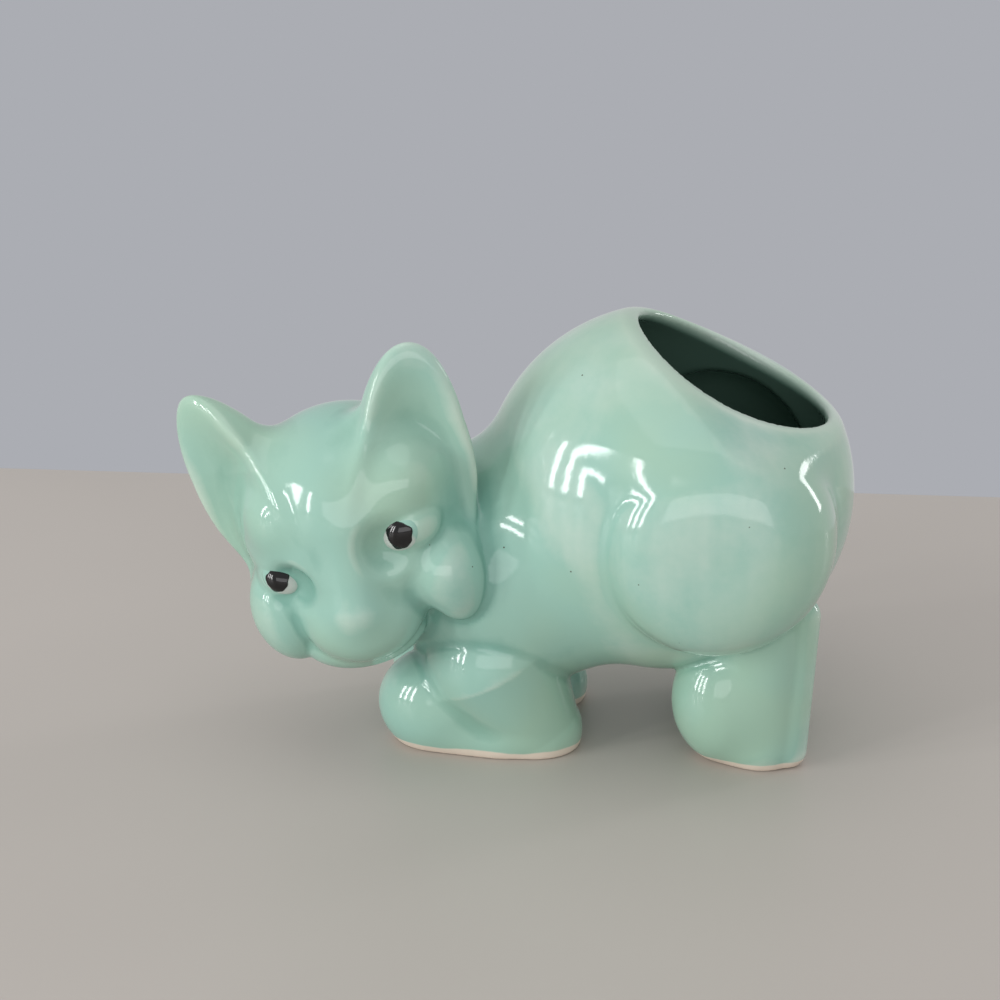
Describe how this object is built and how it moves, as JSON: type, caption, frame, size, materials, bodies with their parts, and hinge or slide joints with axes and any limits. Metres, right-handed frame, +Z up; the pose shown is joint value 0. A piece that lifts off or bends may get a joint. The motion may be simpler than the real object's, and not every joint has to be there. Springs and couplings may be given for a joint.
{
  "type": "animal shaped planter",
  "caption": "Small glazed ceramic planter shaped as a crouching cat with its head turned, hollow and open at a slanting mouth in its back.",
  "frame": {"origin": "middle of the footprint of the whole planter, on the table", "axes": "+X from the turned head towards the tail end, -Y the side that the face looks to, +Z up"},
  "size_m": [0.156, 0.089, 0.1038],
  "materials": {
    "mint_glaze": "gloss",
    "white_glaze": "gloss",
    "black_glaze": "gloss"
  },
  "bodies": {
    "root": {"body_casting": "mint_glaze", "head_casting": "mint_glaze", "left_ear": "mint_glaze", "right_ear": "mint_glaze", "left_front_leg": "mint_glaze", "right_front_leg": "mint_glaze", "left_hind_leg": "mint_glaze", "right_hind_leg": "mint_glaze", "left_eye": "white_glaze", "right_eye": "white_glaze", "left_pupil": "black_glaze", "right_pupil": "black_glaze"}
  },
  "joints": []
}
